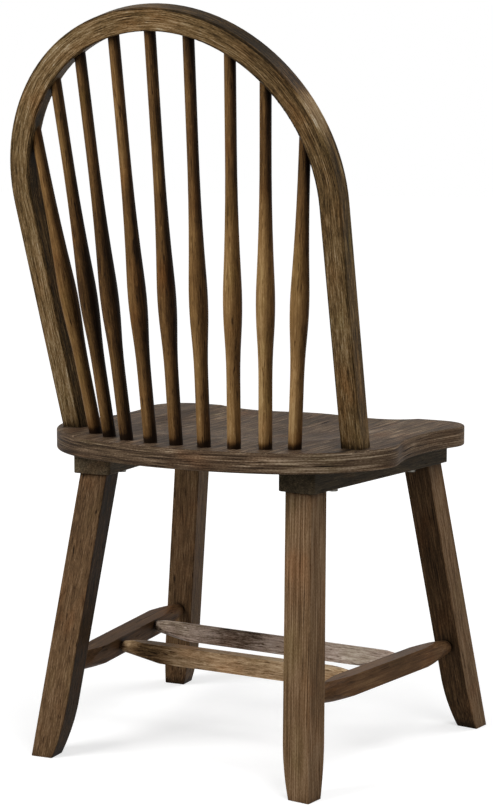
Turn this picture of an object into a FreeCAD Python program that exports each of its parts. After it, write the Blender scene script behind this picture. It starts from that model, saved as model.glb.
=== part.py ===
import FreeCAD, Part
import math
import os
import Sketcher
from FreeCAD import Placement, Rotation, Vector

# Wheelback chair: a plank seat, a bent bow with nine turned spindles, and two leg frames.
# Millimetres. The front faces -Y, +Z is up, and +X is the sitter's left.
# The origin is on the floor, under the middle of the chair's bounding box.

os.makedirs("parts", exist_ok=True)
doc = FreeCAD.newDocument("Chair")

SIZES = [
    # Seat
    ("seat_height", 457.0),
    ("seat_thickness", 28.0),
    ("seat_back_reach", 208.6),
    ("seat_front_reach", 232.7),
    ("seat_half_width", 265.0),
    ("seat_front_half_width", 262.3),
    ("seat_widest_reach", 48.9),
    ("seat_back_radius", 473.0),
    ("seat_shoulder_radius", 194.0),
    ("seat_side_radius", 80.0),
    ("seat_waist_radius", 308.0),
    ("seat_corner_radius", 54.0),
    ("seat_top_ease", 2.5),
    ("seat_bottom_ease", 2.0),
    # Saddle in the seat, at four stations from the front to the back: half width, depth of the
    # thigh hollows, depth of the ridge between them, and how far the rim starts above the seat
    ("saddle_hollow_spacing", 98.0),
    ("saddle_front_half_width", 175.0),
    ("saddle_front_hollow", 3.6),
    ("saddle_front_ridge", 1.4),
    ("saddle_front_rim", 0.9),
    ("saddle_middle_half_width", 190.0),
    ("saddle_middle_hollow", 7.5),
    ("saddle_middle_ridge", 6.2),
    ("saddle_middle_rim", 1.4),
    ("saddle_rear_half_width", 165.0),
    ("saddle_rear_hollow", 4.6),
    ("saddle_rear_ridge", 4.6),
    ("saddle_rear_rim", 1.4),
    ("saddle_back_half_width", 120.0),
    ("saddle_back_rim", 2.2),
    ("saddle_back_rise", 1.6),
    ("saddle_middle_share", 0.42),
    ("saddle_rear_share", 0.80),
    ("saddle_back_gap", 26.0),
    ("saddle_run_out", 12.0),
    # Bow
    ("bow_radius", 254.5),
    ("bow_arch_height", 344.0),
    ("bow_foot_half_spacing", 240.5),
    ("bow_foot_reach", 97.6),
    ("bow_width", 31.0),
    ("bow_thickness", 28.0),
    ("bow_lean", 15.7),
    ("bow_ease", 2.5),
    ("bow_tenon_radius", 10.0),
    ("bow_tenon_length", 22.0),
    # Spindles, heights along their own axis from the seat
    ("spindle_foot_radius", 9.35),
    ("spindle_bulb_radius", 12.8),
    ("spindle_top_radius", 7.8),
    ("spindle_bulb_height", 197.0),
    ("spindle_foot_length", 94.0),
    ("spindle_neck_height", 400.0),
    ("spindle_bulb_curve", 640.0),
    ("spindle_seat_depth", 20.0),
    ("spindle_bow_depth", 14.0),
    ("spindle_bow_share", 0.6),
    ("spindle_row_depth", 175.4),
    # Legs
    ("cleat_thickness", 30.0),
    ("leg_width", 42.3),
    ("leg_depth", 38.3),
    ("leg_ease", 1.6),
    ("side_angle", 5.5),
    ("rear_leg_half_spacing", 166.3),
    ("rear_leg_reach", 113.9),
    ("leg_top_distance", 305.3),
    ("rear_foot_out", 44.5),
    ("rear_foot_back", 72.0),
    ("front_foot_out", 51.8),
    ("front_foot_forward", 54.3),
    ("foot_taper_height", 76.0),
    ("foot_taper_width", 9.3),
    ("foot_taper_depth", 7.6),
    # Cleats
    ("cleat_width", 57.5),
    ("cleat_rear_overhang", 7.0),
    ("cleat_front_overhang", 7.0),
    ("cleat_corner", 5.0),
    ("cleat_ease", 1.2),
    # Stretchers
    ("side_stretcher_size", 28.0),
    ("side_stretcher_height", 125.0),
    ("left_stretcher_rise", 10.0),
    ("right_stretcher_rise", 0.0),
    ("side_stretcher_lean", 7.0),
    ("side_nose_length", 82.0),
    ("side_nose_radius", 10.0),
    ("side_tenon_radius", 7.5),
    ("side_tenon_length", 20.0),
    ("side_bar_drop", 0.0),
    ("rear_cross_height", 27.5),
    ("front_cross_height", 27.0),
    ("cross_thickness", 20.0),
    ("cross_nose_length", 74.0),
    ("cross_nose_radius", 8.5),
    ("cross_tenon_radius", 6.0),
    ("cross_tenon_length", 15.0),
    ("cross_bar_drop", 3.0),
    ("nose_round", 4.0),
    ("shoulder_gap", 1.6),
    ("rear_cross_reach", 17.6),
    ("rear_cross_drop", 2.0),
    ("rear_cross_lean", 1.0),
    ("front_cross_reach", -93.4),
    ("front_cross_drop", -1.5),
    ("front_cross_lean", 13.0),
    # Fastenings
    ("bolt_radius", 4.0),
    ("bolt_head_radius", 6.5),
    ("bolt_head_height", 8.0),
    ("bolt_socket_radius", 3.4),
    ("bolt_socket_depth", 4.0),
    ("bolt_engagement", 15.0),
    ("rear_bolt_distance", 67.0),
    ("front_bolt_distance", 30.0),
    ("washer_radius", 9.0),
    ("washer_thickness", 1.6),
    ("insert_radius", 6.0),
    ("insert_length", 16.0),
    ("dowel_radius", 4.0),
    ("dowel_half_length", 20.0),
    ("dowel_spacing", 15.0),
    # Clearances on the radius: glued round joints, and a bolt through its hole
    ("joint_clearance", 0.05),
    ("bolt_clearance", 0.25),
    ("socket_bottom_gap", 1.0),
    # How far a cutter starts outside a piece, and a stretcher's corners lie inside its turned form
    ("cutter_lead", 10.0),
    ("turning_margin", 0.5),
]

SPINDLE_ROW = [
    # across the seat, behind the foot of the middle spindle, across the bow
    ("outer", 159.2, 42.6, 208.2),
    ("side", 124.4, 24.8, 161.6),
    ("inner", 85.5, 8.8, 115.1),
    ("next", 42.5, 2.4, 57.3),
]

sheet = doc.addObject("Spreadsheet::Sheet", "Sizes")
row_number = 0
for alias, number in SIZES:
    row_number += 1
    sheet.set("A%d" % row_number, alias)
    sheet.set("B%d" % row_number, str(number))
    sheet.setAlias("B%d" % row_number, alias)
for place, foot_across, foot_forward, top_across in SPINDLE_ROW:
    for meaning, number in (
        ("foot_across", foot_across),
        ("foot_forward", foot_forward),
        ("top_across", top_across),
    ):
        row_number += 1
        alias = "spindle_%s_%s" % (place, meaning)
        sheet.set("A%d" % row_number, alias)
        sheet.set("B%d" % row_number, str(number))
        sheet.setAlias("B%d" % row_number, alias)
doc.recompute()


def size(alias):
    """The number that the sheet holds under this alias."""
    return float(getattr(sheet, alias))


def cell(alias):
    """The alias as an expression writes it."""
    return "Sizes.%s" % alias


X_AXIS = Vector(1, 0, 0)
Y_AXIS = Vector(0, 1, 0)
Z_AXIS = Vector(0, 0, 1)

# An edge that rises less than this is level, and a wall's normal rises less than this
LEVEL = 0.01
STEEP = 0.1


# Helpers for bodies and sketches

def new_body(name):
    return doc.addObject("PartDesign::Body", name)


def new_sketch(body, name, role):
    """A sketch on one of the body's own origin planes."""
    sketch = body.newObject("Sketcher::SketchObject", name)
    plane = [f for f in body.Origin.OriginFeatures if f.Role == role][0]
    sketch.AttachmentSupport = [(plane, "")]
    sketch.MapMode = "FlatFace"
    return sketch


def bind(sketch, constraint, name, expression):
    """Adds a constraint under a name and ties it to the sheet."""
    index = sketch.addConstraint(constraint)
    sketch.renameConstraint(index, name)
    sketch.setExpression("Constraints.%s" % name, expression)
    return index


def close_loop(sketch, first, last):
    """Joins the end of each edge to the start of the next, all the way round."""
    for edge in range(first, last + 1):
        following = edge + 1 if edge < last else first
        sketch.addConstraint(Sketcher.Constraint("Coincident", edge, 2, following, 1))


def centred_rectangle(sketch, width, depth, width_cell, depth_cell):
    """A rectangle about the sketch's own centre."""
    corners = [
        Vector(-width / 2, -depth / 2, 0),
        Vector(width / 2, -depth / 2, 0),
        Vector(width / 2, depth / 2, 0),
        Vector(-width / 2, depth / 2, 0),
    ]
    for index in range(4):
        sketch.addGeometry(Part.LineSegment(corners[index], corners[(index + 1) % 4]), False)
    close_loop(sketch, 0, 3)
    sketch.addConstraint(Sketcher.Constraint("Horizontal", 0))
    sketch.addConstraint(Sketcher.Constraint("Horizontal", 2))
    sketch.addConstraint(Sketcher.Constraint("Vertical", 1))
    sketch.addConstraint(Sketcher.Constraint("Vertical", 3))
    sketch.addConstraint(Sketcher.Constraint("Symmetric", 0, 1, 2, 1, -1, 1))
    bind(sketch, Sketcher.Constraint("DistanceX", 0, 1, 0, 2, width), "width", width_cell)
    bind(sketch, Sketcher.Constraint("DistanceY", 1, 1, 1, 2, depth), "depth", depth_cell)


def arc_between(centre, radius, start, end):
    """An arc about the centre, counter-clockwise from start to end."""
    first = math.atan2(start.y - centre.y, start.x - centre.x)
    last = math.atan2(end.y - centre.y, end.x - centre.x)
    circle = Part.Circle(centre, Z_AXIS, radius)
    return Part.ArcOfCircle(circle, first, last)


def circles_meet(centre_1, radius_1, centre_2, radius_2, side):
    """Where two circles cross: side is 1 for the left of the line between centres, or -1."""
    gap = centre_2 - centre_1
    along = (radius_1 ** 2 - radius_2 ** 2 + gap.Length ** 2) / (2 * gap.Length)
    across = math.sqrt(radius_1 ** 2 - along ** 2)
    unit = gap / gap.Length
    return centre_1 + unit * along + Vector(-unit.y, unit.x, 0) * (side * across)


def along_line(base, direction):
    """A placement at base whose own Z runs along direction."""
    return Placement(base, Rotation(Z_AXIS, direction))


def rod(name, radius_expression, length_expression, placement):
    """A round rod, used as a pin or to drill a hole."""
    cylinder = doc.addObject("Part::Cylinder", name)
    cylinder.setExpression("Radius", radius_expression)
    cylinder.setExpression("Height", length_expression)
    cylinder.Placement = placement
    return cylinder


def drilled(name, blank, drills):
    """The blank with each drill's shape cut away."""
    drill_set = doc.addObject("Part::Compound", name + "_drills")
    drill_set.Links = drills
    result = doc.addObject("Part::Cut", name)
    result.Base = blank
    result.Tool = drill_set
    return result


def mirrored(name, source):
    """The same piece for the sitter's right-hand side."""
    copy = doc.addObject("Part::Mirroring", name)
    copy.Source = source
    copy.Normal = X_AXIS
    copy.Base = Vector(0, 0, 0)
    return copy


def finished(piece, label):
    """Gives a piece the name that its file takes."""
    piece.Label = label
    pieces.append(piece)
    return piece


pieces = []
seat_top = size("seat_height")
seat_bottom = size("seat_height") - size("seat_thickness")
cleat_bottom = seat_bottom - size("cleat_thickness")


# Lines that several pieces share

lean = math.radians(size("bow_lean"))
bow_up = Vector(0, math.sin(lean), math.cos(lean))
bow_forward = Vector(0, -math.cos(lean), math.sin(lean))
bow_origin = Vector(0, size("bow_foot_reach"), seat_top)


def bow_point(across, up, forward):
    """A point given across, up along and forward of the bow's rear face."""
    return bow_origin + X_AXIS * across + bow_up * up + bow_forward * forward


def tangent_from_foot(foot_across, radius):
    """Where the straight leg of the bow meets its arch, from the foot at seat level."""
    centre = Vector(0, size("bow_arch_height"), 0)
    foot = Vector(foot_across, 0, 0)
    reach = (foot - centre).Length
    tangent_length = math.sqrt(reach ** 2 - radius ** 2)
    return circles_meet(centre, radius, foot, tangent_length, 1)


bow_outer_foot = Vector(size("bow_foot_half_spacing"), 0, 0)
bow_outer_join = tangent_from_foot(bow_outer_foot.x, size("bow_radius"))
bow_leg_unit = (bow_outer_join - bow_outer_foot).normalize()
bow_inward = Vector(-bow_leg_unit.y, bow_leg_unit.x, 0)


def bow_inner_height(across):
    """How far up the bow its inner face is, at this distance from the middle."""
    inner_radius = size("bow_radius") - size("bow_width")
    return size("bow_arch_height") + math.sqrt(inner_radius ** 2 - across ** 2)


spindle_forward = size("spindle_bow_share") * size("bow_thickness")
spindle_lines = []
for place, sign in (
    ("outer", 1), ("side", 1), ("inner", 1), ("next", 1), (None, 0),
    ("next", -1), ("inner", -1), ("side", -1), ("outer", -1),
):
    foot_across = 0.0
    foot_forward = 0.0
    top_across = 0.0
    if place:
        foot_across = sign * size("spindle_%s_foot_across" % place)
        foot_forward = size("spindle_%s_foot_forward" % place)
        top_across = sign * size("spindle_%s_top_across" % place)
    foot = Vector(foot_across, size("spindle_row_depth") - foot_forward, seat_top)
    top = bow_point(top_across, bow_inner_height(top_across), spindle_forward)
    spindle_lines.append((foot, top))


# Seat

def seat_arcs():
    """Centres and joins of the half outline, on the side of +X, from the back to the front."""
    back_radius = size("seat_back_radius")
    shoulder_radius = size("seat_shoulder_radius")
    side_radius = size("seat_side_radius")
    waist_radius = size("seat_waist_radius")
    corner_radius = size("seat_corner_radius")
    back_centre = Vector(0, size("seat_back_reach") - back_radius, 0)
    side_centre = Vector(size("seat_half_width") - side_radius, size("seat_widest_reach"), 0)
    corner_centre = Vector(
        size("seat_front_half_width") - corner_radius,
        corner_radius - size("seat_front_reach"), 0)
    shoulder_centre = circles_meet(
        back_centre, back_radius - shoulder_radius,
        side_centre, shoulder_radius - side_radius, 1)
    waist_centre = circles_meet(
        side_centre, waist_radius + side_radius,
        corner_centre, waist_radius + corner_radius, 1)

    def towards(start, target, distance):
        return start + (target - start).normalize() * distance

    joins = [
        towards(back_centre, shoulder_centre, back_radius),
        towards(shoulder_centre, side_centre, shoulder_radius),
        towards(side_centre, waist_centre, side_radius),
        towards(corner_centre, waist_centre, corner_radius),
    ]
    return (back_centre, shoulder_centre, side_centre, waist_centre, corner_centre), joins


def make_seat_plank():
    body = new_body("SeatPlank")
    outline = new_sketch(body, "SeatOutline", "XY_Plane")
    outline.setExpression(
        "AttachmentOffset.Base.z", "Sizes.seat_height - Sizes.seat_thickness")
    centres, joins = seat_arcs()
    back = Vector(0, size("seat_back_reach"), 0)
    front_middle = Vector(0, -size("seat_front_reach"), 0)
    front_corner = Vector(centres[4].x, -size("seat_front_reach"), 0)
    outline.addGeometry(Part.LineSegment(front_middle, front_corner), False)
    outline.addGeometry(
        arc_between(centres[4], size("seat_corner_radius"), front_corner, joins[3]), False)
    outline.addGeometry(
        arc_between(centres[3], size("seat_waist_radius"), joins[2], joins[3]), False)
    outline.addGeometry(
        arc_between(centres[2], size("seat_side_radius"), joins[2], joins[1]), False)
    outline.addGeometry(
        arc_between(centres[1], size("seat_shoulder_radius"), joins[1], joins[0]), False)
    outline.addGeometry(
        arc_between(centres[0], size("seat_back_radius"), joins[0], back), False)
    outline.addGeometry(Part.LineSegment(back, front_middle), False)
    outline.addConstraint([
        Sketcher.Constraint("Tangent", 0, 2, 1, 1),
        Sketcher.Constraint("Tangent", 1, 2, 2, 2),
        Sketcher.Constraint("Tangent", 2, 1, 3, 1),
        Sketcher.Constraint("Tangent", 3, 2, 4, 1),
        Sketcher.Constraint("Tangent", 4, 2, 5, 1),
        Sketcher.Constraint("Coincident", 5, 2, 6, 1),
        Sketcher.Constraint("Coincident", 6, 2, 0, 1),
        Sketcher.Constraint("Horizontal", 0),
        Sketcher.Constraint("PointOnObject", 6, 1, -2),
        Sketcher.Constraint("PointOnObject", 6, 2, -2),
        Sketcher.Constraint("PointOnObject", 5, 3, -2),
    ])
    bind(outline, Sketcher.Constraint("Radius", 1, size("seat_corner_radius")),
         "corner_radius", cell("seat_corner_radius"))
    bind(outline, Sketcher.Constraint("Radius", 2, size("seat_waist_radius")),
         "waist_radius", cell("seat_waist_radius"))
    bind(outline, Sketcher.Constraint("Radius", 3, size("seat_side_radius")),
         "side_radius", cell("seat_side_radius"))
    bind(outline, Sketcher.Constraint("Radius", 4, size("seat_shoulder_radius")),
         "shoulder_radius", cell("seat_shoulder_radius"))
    bind(outline, Sketcher.Constraint("Radius", 5, size("seat_back_radius")),
         "back_radius", cell("seat_back_radius"))
    bind(outline, Sketcher.Constraint("DistanceY", -1, 1, 6, 1, back.y),
         "back_reach", cell("seat_back_reach"))
    bind(outline, Sketcher.Constraint("DistanceY", 6, 2, -1, 1, -front_middle.y),
         "front_reach", cell("seat_front_reach"))
    bind(outline, Sketcher.Constraint("DistanceX", -1, 1, 1, 3, centres[4].x),
         "corner_across", "Sizes.seat_front_half_width - Sizes.seat_corner_radius")
    bind(outline, Sketcher.Constraint("DistanceX", -1, 1, 3, 3, centres[2].x),
         "side_across", "Sizes.seat_half_width - Sizes.seat_side_radius")
    bind(outline, Sketcher.Constraint("DistanceY", -1, 1, 3, 3, centres[2].y),
         "side_reach", cell("seat_widest_reach"))
    plank = body.newObject("PartDesign::Pad", "SeatHalf")
    plank.Profile = outline
    plank.setExpression("Length", cell("seat_thickness"))
    doc.recompute()
    whole = body.newObject("PartDesign::Mirrored", "SeatWhole")
    whole.Originals = [plank]
    side_plane = [f for f in body.Origin.OriginFeatures if f.Role == "YZ_Plane"][0]
    whole.MirrorPlane = (side_plane, [""])
    body.Tip = whole
    doc.recompute()
    return body


def saddle_station(body, name, reach, half_width, hollow, ridge, rim):
    """One section across the seat of what is scooped out, as a closed profile."""
    sketch = new_sketch(body, name, "XZ_Plane")
    sketch.AttachmentOffset = Placement(Vector(0, seat_top, -reach), Rotation())
    spacing = size("saddle_hollow_spacing")
    above = size("saddle_run_out")
    left = Vector(-half_width, rim, 0)
    right = Vector(half_width, rim, 0)
    floor = Part.BSplineCurve()
    floor.interpolate([
        left, Vector(-spacing, -hollow, 0), Vector(0, -ridge, 0), Vector(spacing, -hollow, 0), right,
    ])
    sketch.addGeometry(floor, False)
    sketch.addGeometry(Part.LineSegment(right, Vector(half_width, above, 0)), False)
    sketch.addGeometry(
        Part.LineSegment(Vector(half_width, above, 0), Vector(-half_width, above, 0)), False)
    sketch.addGeometry(Part.LineSegment(Vector(-half_width, above, 0), left), False)
    return sketch


def scoop_saddle(body):
    """Scoops the two thigh hollows and the low ridge between them."""
    back_of_scoop = size("spindle_row_depth") - size("spindle_outer_foot_forward")
    back_of_scoop -= size("spindle_foot_radius") + size("saddle_back_gap")
    front = -size("seat_front_reach")
    scoop_length = back_of_scoop - front
    reaches = {
        "front": front - size("saddle_run_out"),
        "middle": front + size("saddle_middle_share") * scoop_length,
        "rear": front + size("saddle_rear_share") * scoop_length,
    }
    stations = [
        saddle_station(
            body, "Saddle" + place.title(), reach, size("saddle_%s_half_width" % place),
            size("saddle_%s_hollow" % place), size("saddle_%s_ridge" % place),
            size("saddle_%s_rim" % place))
        for place, reach in reaches.items()
    ]
    rise = size("saddle_back_rise")
    stations.append(saddle_station(
        body, "SaddleBack", back_of_scoop + size("saddle_run_out"),
        size("saddle_back_half_width"), -rise, -rise, size("saddle_back_rim")))
    doc.recompute()
    scoop = body.newObject("PartDesign::SubtractiveLoft", "Saddle")
    scoop.Profile = stations[0]
    scoop.Sections = stations[1:]
    scoop.Ruled = False
    doc.recompute()
    return scoop


def edge_names(shape, wanted):
    """Names of the edges that pass the test."""
    return ["Edge%d" % (i + 1) for i, edge in enumerate(shape.Edges) if wanted(edge)]


def ease(body, name, base, names, radius_cell):
    """Rounds the named edges of a body's last feature."""
    fillet = body.newObject("PartDesign::Fillet", name)
    fillet.Base = (base, names)
    fillet.setExpression("Radius", radius_cell)
    doc.recompute()
    return fillet


def rim_edges(shape, at_top):
    """Edges that run along the seat's edge, above or below."""
    def on_rim(edge):
        if edge.BoundBox.ZLength > (seat_top - seat_bottom) / 2:
            return False
        walls = [
            face for face in shape.ancestorsOfType(edge, Part.Face)
            if abs(face.normalAt(*face.Surface.parameter(edge.CenterOfMass)).z) < STEEP
        ]
        high = edge.CenterOfMass.z > (seat_top + seat_bottom) / 2
        return bool(walls) and high == at_top

    return edge_names(shape, on_rim)


seat_plank = make_seat_plank()
saddle = scoop_saddle(seat_plank)
top_rim = rim_edges(saddle.Shape, True)
seat_eased = ease(seat_plank, "SeatTopEase", saddle, top_rim, cell("seat_top_ease"))
bottom_rim = rim_edges(seat_eased.Shape, False)
ease(seat_plank, "SeatBottomEase", seat_eased, bottom_rim, cell("seat_bottom_ease"))


# Bow

def make_bow_blank():
    """The bent bow as one bar of even section, its feet running on below the seat."""
    body = new_body("BowBlank")
    sketch = new_sketch(body, "BowProfile", "XY_Plane")
    centre = Vector(0, size("bow_arch_height"), 0)
    width = size("bow_width")
    outer_radius = size("bow_radius")
    inner_radius = outer_radius - width
    run_on = width
    outer_end = bow_outer_foot - bow_leg_unit * run_on
    inner_join = bow_outer_join + bow_inward * width
    inner_foot = bow_outer_foot + bow_inward * width
    inner_end = inner_foot - bow_leg_unit * ((inner_foot.y - outer_end.y) / bow_leg_unit.y)

    def left(point):
        return Vector(-point.x, point.y, 0)

    edges = [
        Part.LineSegment(outer_end, bow_outer_join),
        arc_between(centre, outer_radius, bow_outer_join, left(bow_outer_join)),
        Part.LineSegment(left(bow_outer_join), left(outer_end)),
        Part.LineSegment(left(outer_end), left(inner_end)),
        Part.LineSegment(left(inner_end), left(inner_join)),
        arc_between(centre, inner_radius, inner_join, left(inner_join)),
        Part.LineSegment(inner_join, inner_end),
        Part.LineSegment(inner_end, outer_end),
    ]
    for edge in edges:
        sketch.addGeometry(edge, False)
    sketch.addConstraint([
        Sketcher.Constraint("Tangent", 0, 2, 1, 1),
        Sketcher.Constraint("Tangent", 1, 2, 2, 1),
        Sketcher.Constraint("Coincident", 2, 2, 3, 1),
        Sketcher.Constraint("Coincident", 3, 2, 4, 1),
        Sketcher.Constraint("Tangent", 4, 2, 5, 2),
        Sketcher.Constraint("Tangent", 5, 1, 6, 1),
        Sketcher.Constraint("Coincident", 6, 2, 7, 1),
        Sketcher.Constraint("Coincident", 7, 2, 0, 1),
        Sketcher.Constraint("Coincident", 1, 3, 5, 3),
        Sketcher.Constraint("PointOnObject", 1, 3, -2),
        Sketcher.Constraint("Parallel", 0, 6),
        Sketcher.Constraint("Symmetric", 0, 1, 2, 2, -2),
        Sketcher.Constraint("Symmetric", 6, 2, 4, 1, -2),
        Sketcher.Constraint("Horizontal", 7),
    ])
    bind(sketch, Sketcher.Constraint("Radius", 1, outer_radius), "outer_radius",
         cell("bow_radius"))
    bind(sketch, Sketcher.Constraint("Radius", 5, inner_radius), "inner_radius",
         "Sizes.bow_radius - Sizes.bow_width")
    bind(sketch, Sketcher.Constraint("DistanceY", -1, 1, 1, 3, centre.y), "arch_height",
         cell("bow_arch_height"))
    sketch.addConstraint(Sketcher.Constraint("DistanceX", -1, 1, 0, 1, outer_end.x))
    sketch.addConstraint(Sketcher.Constraint("DistanceY", 0, 1, -1, 1, -outer_end.y))
    bar = body.newObject("PartDesign::Pad", "BowBar")
    bar.Profile = sketch
    bar.setExpression("Length", cell("bow_thickness"))
    doc.recompute()
    long_edges = edge_names(
        bar.Shape,
        lambda edge: edge.Length > 2 * run_on and edge.BoundBox.ZLength < LEVEL)
    ease(body, "BowEase", bar, long_edges, cell("bow_ease"))
    body.Placement.Base = bow_origin
    body.setExpression("Placement.Base.y", cell("bow_foot_reach"))
    body.setExpression("Placement.Base.z", cell("seat_height"))
    body.Placement.Rotation = Rotation(X_AXIS, 90 - size("bow_lean"))
    return body


def bow_tenon_line(sign):
    """Where the middle of a foot of the bow meets the seat, and the way the bow rises there."""
    rise = X_AXIS * (sign * bow_leg_unit.x) + bow_up * bow_leg_unit.y
    middle = bow_outer_foot + bow_inward * (size("bow_width") / 2)
    start = bow_point(sign * middle.x, middle.y, size("bow_thickness") / 2)
    return start + rise * ((seat_top - start.z) / rise.z), rise


def spindle_end_depth(foot, top):
    """How far a spindle runs past the bow's inner face, along its own axis."""
    axis = (top - foot).normalize()
    centre = bow_point(0, size("bow_arch_height"), spindle_forward)
    face_normal = (top - centre).normalize()
    square = abs(axis.dot(face_normal))
    slant = math.sqrt(1 - square ** 2) / square
    return size("spindle_bow_depth") + size("spindle_top_radius") * slant


bow_blank = make_bow_blank()
lead = size("cutter_lead")
below_seat_top = doc.addObject("Part::Box", "BelowSeatTop")
block_side = 4 * size("bow_foot_half_spacing")
below_seat_top.Length = block_side
below_seat_top.Width = block_side
below_seat_top.setExpression("Height", cell("seat_height"))
below_seat_top.Placement.Base = Vector(-block_side / 2, -block_side / 2, 0)
bow_drills = [below_seat_top]
seat_drills = []
for number, (foot, top) in enumerate(spindle_lines, 1):
    axis = (top - foot).normalize()
    depth = spindle_end_depth(foot, top)
    clear_above = 4 * size("spindle_top_radius")
    bow_drills.append(rod(
        "BowSocket%d" % number,
        "Sizes.spindle_top_radius + Sizes.joint_clearance",
        "%f + Sizes.socket_bottom_gap" % (clear_above + depth),
        along_line(top - axis * clear_above, axis)))
    seat_drills.append(rod(
        "SeatSocket%d" % number,
        "Sizes.spindle_foot_radius + Sizes.joint_clearance",
        "Sizes.spindle_seat_depth + Sizes.socket_bottom_gap + Sizes.cutter_lead",
        along_line(foot + axis * lead, axis * -1)))
bow_tenons = []
for name, sign in (("Left", 1), ("Right", -1)):
    start, rise = bow_tenon_line(sign)
    bow_tenons.append(rod(
        "BowTenon" + name,
        cell("bow_tenon_radius"),
        "Sizes.bow_tenon_length + Sizes.cutter_lead",
        along_line(start + rise * lead, rise * -1)))
    seat_drills.append(rod(
        "SeatMortise" + name,
        "Sizes.bow_tenon_radius + Sizes.joint_clearance",
        "Sizes.bow_tenon_length + Sizes.socket_bottom_gap + Sizes.cutter_lead",
        along_line(start + rise * lead, rise * -1)))
bow_cut = drilled("BowCut", bow_blank, bow_drills)
bow = doc.addObject("Part::MultiFuse", "Bow")
bow.Shapes = [bow_cut] + bow_tenons
finished(bow, "bow")


# Spindles

def make_spindle(number, foot, top):
    """A turned spindle: an even foot, a bulb a third of the way up, and a slender neck."""
    foot_radius = size("spindle_foot_radius")
    bulb_radius = size("spindle_bulb_radius")
    top_radius = size("spindle_top_radius")
    foot_length = size("spindle_foot_length")
    bulb_height = size("spindle_bulb_height")
    neck_height = size("spindle_neck_height")
    curve = size("spindle_bulb_curve")
    end = (top - foot).Length + spindle_end_depth(foot, top)
    sunk = -size("spindle_seat_depth")

    def hollow_radius(step, rise):
        return (step ** 2 + rise ** 2) / (2 * step) - curve

    lower_radius = hollow_radius(bulb_radius - foot_radius, bulb_height - foot_length)
    upper_radius = hollow_radius(bulb_radius - top_radius, neck_height - bulb_height)
    lower_centre = Vector(foot_radius + lower_radius, foot_length, 0)
    upper_centre = Vector(top_radius + upper_radius, neck_height, 0)
    bulb_centre = Vector(bulb_radius - curve, bulb_height, 0)
    lower_join = bulb_centre + (lower_centre - bulb_centre).normalize() * curve
    upper_join = bulb_centre + (upper_centre - bulb_centre).normalize() * curve
    foot_top = Vector(foot_radius, foot_length, 0)
    neck = Vector(top_radius, neck_height, 0)

    body = new_body("Spindle%d" % number)
    sketch = new_sketch(body, "SpindleProfile%d" % number, "XZ_Plane")
    edges = [
        Part.LineSegment(Vector(0, sunk, 0), Vector(foot_radius, sunk, 0)),
        Part.LineSegment(Vector(foot_radius, sunk, 0), foot_top),
        arc_between(lower_centre, lower_radius, lower_join, foot_top),
        arc_between(bulb_centre, curve, lower_join, upper_join),
        arc_between(upper_centre, upper_radius, neck, upper_join),
        Part.LineSegment(neck, Vector(top_radius, end, 0)),
        Part.LineSegment(Vector(top_radius, end, 0), Vector(0, end, 0)),
        Part.LineSegment(Vector(0, end, 0), Vector(0, sunk, 0)),
    ]
    for edge in edges:
        sketch.addGeometry(edge, False)
    sketch.addConstraint([
        Sketcher.Constraint("Coincident", 0, 2, 1, 1),
        Sketcher.Constraint("Tangent", 1, 2, 2, 2),
        Sketcher.Constraint("Tangent", 2, 1, 3, 1),
        Sketcher.Constraint("Tangent", 3, 2, 4, 2),
        Sketcher.Constraint("Tangent", 4, 1, 5, 1),
        Sketcher.Constraint("Coincident", 5, 2, 6, 1),
        Sketcher.Constraint("Coincident", 6, 2, 7, 1),
        Sketcher.Constraint("Coincident", 7, 2, 0, 1),
        Sketcher.Constraint("Horizontal", 0),
        Sketcher.Constraint("Vertical", 1),
        Sketcher.Constraint("Vertical", 5),
        Sketcher.Constraint("Horizontal", 6),
        Sketcher.Constraint("PointOnObject", 7, 1, -2),
        Sketcher.Constraint("PointOnObject", 7, 2, -2),
    ])
    bind(sketch, Sketcher.Constraint("DistanceX", -1, 1, 1, 2, foot_radius),
         "foot_radius", cell("spindle_foot_radius"))
    bind(sketch, Sketcher.Constraint("DistanceX", -1, 1, 5, 1, top_radius),
         "top_radius", cell("spindle_top_radius"))
    bind(sketch, Sketcher.Constraint("DistanceY", -1, 1, 1, 2, foot_length),
         "foot_length", cell("spindle_foot_length"))
    bind(sketch, Sketcher.Constraint("DistanceY", -1, 1, 5, 1, neck_height),
         "neck_height", cell("spindle_neck_height"))
    bind(sketch, Sketcher.Constraint("DistanceY", 7, 2, -1, 1, -sunk),
         "seat_depth", cell("spindle_seat_depth"))
    bind(sketch, Sketcher.Constraint("Radius", 3, curve),
         "bulb_curve", cell("spindle_bulb_curve"))
    bind(sketch, Sketcher.Constraint("DistanceY", -1, 1, 3, 3, bulb_height),
         "bulb_height", cell("spindle_bulb_height"))
    sketch.addConstraint(Sketcher.Constraint("DistanceY", -1, 1, 7, 1, end))
    turning = body.newObject("PartDesign::Revolution", "SpindleTurning%d" % number)
    turning.Profile = sketch
    turning.ReferenceAxis = (sketch, ["V_Axis"])
    turning.Angle = 360.0
    body.Placement = along_line(foot, (top - foot).normalize())
    doc.recompute()
    return body


for number, (foot, top) in enumerate(reversed(spindle_lines), 1):
    finished(make_spindle(number, foot, top), "spindle_%d" % number)


# Leg frames, made for the sitter's left side and mirrored for the right

turn = Rotation(Z_AXIS, size("side_angle"))
outward = turn.multVec(X_AXIS)
backward = turn.multVec(Y_AXIS)
rear_leg_top = Vector(size("rear_leg_half_spacing"), size("rear_leg_reach"), cleat_bottom)
front_leg_top = rear_leg_top - backward * size("leg_top_distance")


def foot_shift(out_cell, along_cell, along_sign):
    """How far a foot stands from straight under the top of its leg."""
    return Vector(size(out_cell), along_sign * size(along_cell), -cleat_bottom)


rear_shift = foot_shift("rear_foot_out", "rear_foot_back", 1)
front_shift = foot_shift("front_foot_out", "front_foot_forward", -1)


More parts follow.
